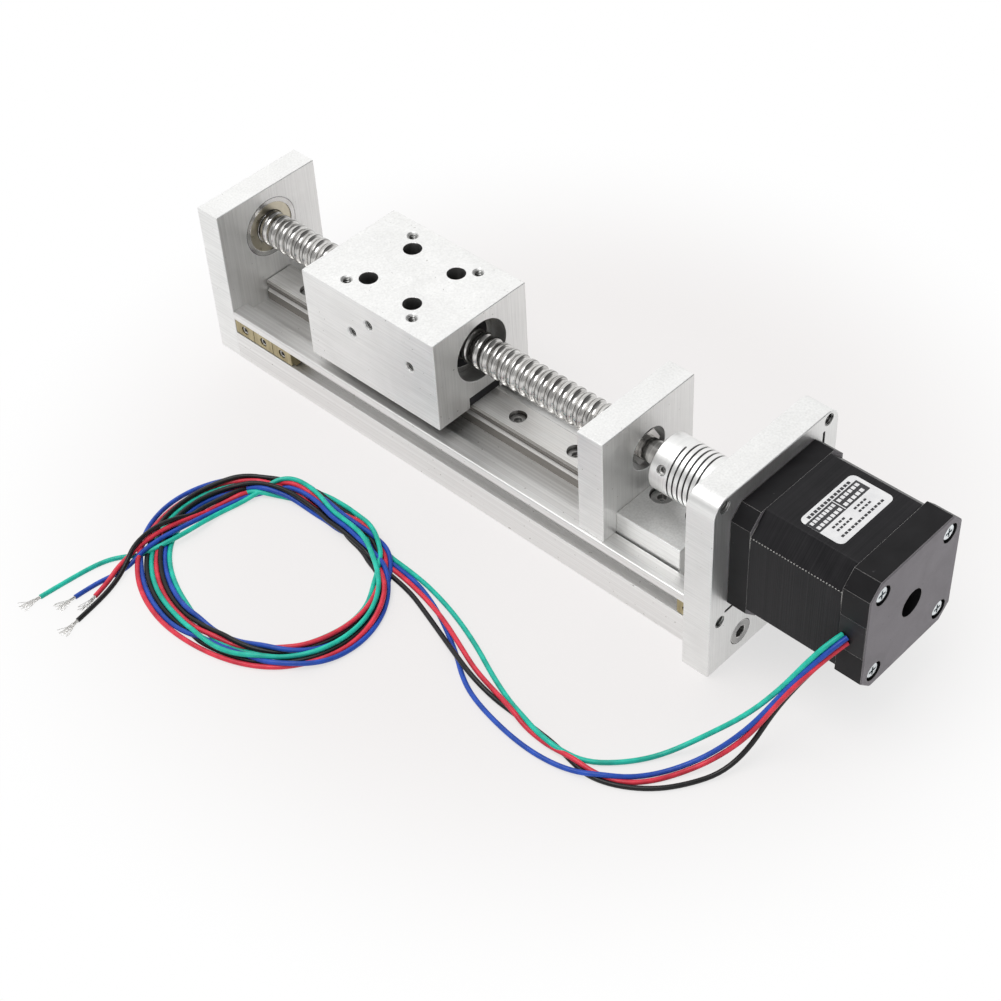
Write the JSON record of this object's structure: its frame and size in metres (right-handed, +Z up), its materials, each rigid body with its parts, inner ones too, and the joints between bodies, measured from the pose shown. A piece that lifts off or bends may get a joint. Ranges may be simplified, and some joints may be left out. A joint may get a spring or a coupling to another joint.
{
  "type": "linear slide stage",
  "caption": "Motor-driven linear slide stage: a ball screw moves a drilled carriage block along a guide rail on a slotted base.",
  "frame": {"origin": "bottom centre of the stage without its leads: halfway along, on the middle line, on the surface it stands on", "axes": "+X along the stage from the end plate to the motor, +Z up"},
  "size_m": [0.276, 0.1751, 0.0708],
  "materials": {
    "extruded_aluminium": "satin, drawn along its length",
    "milled_aluminium": "fine brushed",
    "black_screws": "black oxide",
    "ground_steel": "ground",
    "black_plastic": "moulded",
    "screw_steel": "polished",
    "bearing_steel": "polished",
    "shield_steel": "pressed, slightly golden",
    "coupling_aluminium": "turned",
    "rotor_steel": "laminated",
    "motor_black": "satin black",
    "lamination": "black varnished sheets",
    "copper": "enamelled wire",
    "zinc_screws": "zinc plated",
    "nut_brass": "yellow passivated",
    "tinned_wire": "tinned strands",
    "lead_green": "smooth",
    "lead_blue": "smooth",
    "lead_red": "smooth",
    "lead_black": "smooth"
  },
  "bodies": {
    "frame": {"base_extrusion": "extruded_aluminium", "end_plate": "milled_aluminium", "bearing_plate": "milled_aluminium", "foot_block": "milled_aluminium", "motor_plate": "milled_aluminium", "end_plate_screws": "black_screws", "motor_plate_screws": "black_screws", "bearing_plate_screws": "black_screws", "foot_screws": "black_screws", "motor_mount_screws": "black_screws", "rail_screws": "black_screws", "guide_rail": "ground_steel", "end_bearing_outer": "bearing_steel", "fixed_bearing_outer": "bearing_steel", "end_bearing_shields": "shield_steel", "motor_front_bearing_outer": "bearing_steel", "motor_rear_bearing_outer": "bearing_steel", "motor_front_cap": "motor_black", "motor_rear_cap": "motor_black", "motor_stator": "lamination", "motor_windings": "copper", "motor_case_screws": "zinc_screws", "lead_outlet": "black_plastic", "slot_nuts": "nut_brass", "conductor_tips": "tinned_wire", "lead_coil": "lead_black", "lead_green": "lead_green", "tail_green": "lead_green", "lead_blue": "lead_blue", "tail_blue": "lead_blue", "lead_red": "lead_red", "tail_red": "lead_red", "lead_black": "lead_black", "tail_black": "lead_black"},
    "screw": {"ball_screw": "screw_steel", "end_bearing_inner": "bearing_steel", "fixed_bearing_inner": "bearing_steel", "lock_nut": "screw_steel", "coupling": "coupling_aluminium", "coupling_set_screws": "black_screws", "motor_shaft": "screw_steel", "rotor": "rotor_steel", "motor_front_bearing_inner": "bearing_steel", "motor_rear_bearing_inner": "bearing_steel"},
    "carriage": {"carriage_block": "milled_aluminium", "runner_block": "ground_steel", "runner_end_caps": "black_plastic", "carriage_screws": "black_screws", "rail_wipers": "black_plastic", "ball_nut": "screw_steel", "nut_seals": "black_plastic"}
  },
  "joints": [
    {"name": "screw_spin", "type": "hinge", "parent": "frame", "child": "screw", "pos_m": [0, 0, 0.0443], "axis": [1, 0, 0], "range_deg": [-5355, 3645]},
    {"name": "carriage_slide", "type": "slide", "parent": "frame", "child": "carriage", "axis": [1, 0, 0], "range_m": [-0.0405, 0.0595]}
  ],
  "couplings": [
    {"joint": "carriage_slide", "follows": "screw_spin", "m_per_rad": -0.00063662}
  ]
}
